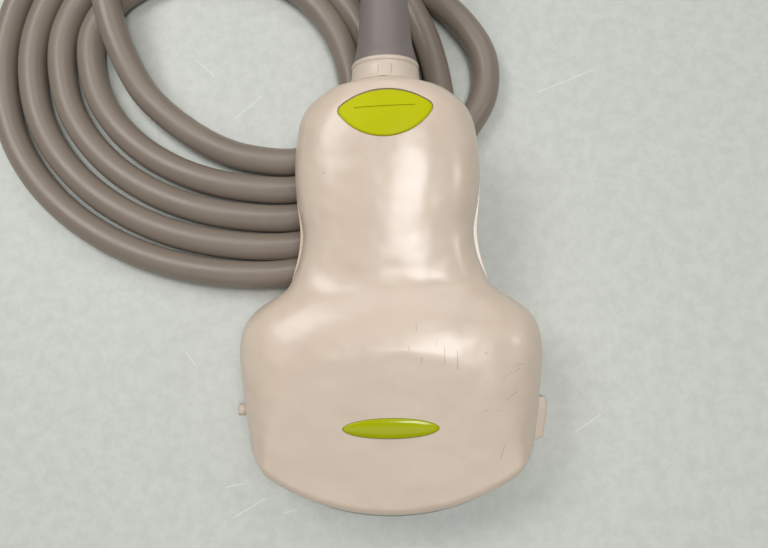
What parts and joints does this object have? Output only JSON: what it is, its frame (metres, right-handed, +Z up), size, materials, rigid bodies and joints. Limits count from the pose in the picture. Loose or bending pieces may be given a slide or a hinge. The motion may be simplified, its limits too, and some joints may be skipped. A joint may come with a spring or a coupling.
{
  "type": "ultrasound transducer probe",
  "caption": "Convex-array ultrasound probe with a waisted two-shell grip, curved lens, strain relief, coiled cord and a scanner plug with a quarter-turn lock.",
  "frame": {"origin": "middle of the probe's own box, without the cord and plug, at the height of the table it lies on", "axes": "+Z up; +Y along the probe from the lens to the cord; +X to the right of the probe seen from above"},
  "size_m": [0.1583, 0.3476, 0.0396],
  "materials": {
    "shell_ivory": "satin moulded, lightly scratched",
    "lens_grey": "smooth silicone",
    "seal_dark": "matte",
    "badge_lime": "satin",
    "marker_gloss": "glossy dome",
    "collar_ivory": "satin",
    "boot_grey": "matte",
    "cord_grey": "satin jacket",
    "array_metal": "cast, satin",
    "array_layers": "filled resin",
    "array_ceramic": "ground",
    "backing_black": "loaded resin",
    "board_green": "lacquered",
    "chip_black": "moulded",
    "flex_amber": "film",
    "shield_tin": "tinned",
    "bundle_white": "wrapped",
    "clamp_white": "moulded",
    "screw_steel": "bright",
    "plug_grey": "fine texture",
    "shroud_metal": "plated",
    "block_black": "moulded",
    "contact_gold": "gold flash",
    "post_brass": "turned",
    "lever_dark": "moulded"
  },
  "bodies": {
    "probe": {"acoustic_lens": "lens_grey", "array_chassis": "array_metal", "backing_block": "backing_black", "board_chips": "chip_black", "board_front": "board_green", "board_headers": "chip_black", "board_rear": "board_green", "board_screws": "screw_steel", "board_standoffs": "screw_steel", "cable_clamp_lower": "clamp_white", "cable_clamp_upper": "clamp_white", "cable_entry": "cord_grey", "chassis_screws": "screw_steel", "clamp_screws": "screw_steel", "contact_block": "block_black", "contacts": "contact_gold", "cord_coil": "cord_grey", "cord_run": "cord_grey", "cord_tail": "cord_grey", "crimp_ferrule": "array_metal", "flex_circuit_front": "flex_amber", "flex_circuit_rear": "flex_amber", "front_shell": "shell_ivory", "guide_peg": "shell_ivory", "guide_posts": "post_brass", "lens_seal": "seal_dark", "marker_plate": "marker_gloss", "matching_layer_inner": "array_layers", "matching_layer_outer": "array_layers", "name_plate": "badge_lime", "neck_collar": "collar_ivory", "piezo_array": "array_ceramic", "plug_board": "board_green", "plug_boot": "boot_grey", "plug_cable_end": "cord_grey", "plug_case_lower": "plug_grey", "plug_case_upper": "plug_grey", "plug_screws": "screw_steel", "plug_shroud": "shroud_metal", "rear_shell": "shell_ivory", "seam_gasket": "seal_dark", "shaft_bush_front": "post_brass", "shaft_bush_rear": "post_brass", "shield_front": "shield_tin", "shield_rear": "shield_tin", "strain_relief": "boot_grey", "wire_bundle_front": "bundle_white", "wire_bundle_rear": "bundle_white"},
    "lock": {"lock_shaft": "screw_steel", "lock_lever": "lever_dark", "lever_screw": "screw_steel", "shaft_clip": "screw_steel"}
  },
  "joints": [
    {"name": "lock_turn", "type": "hinge", "parent": "probe", "child": "lock", "pos_m": [-0.08, 0.208, 0.018], "axis": [0, -1, 0], "range_deg": [0, 90]}
  ]
}
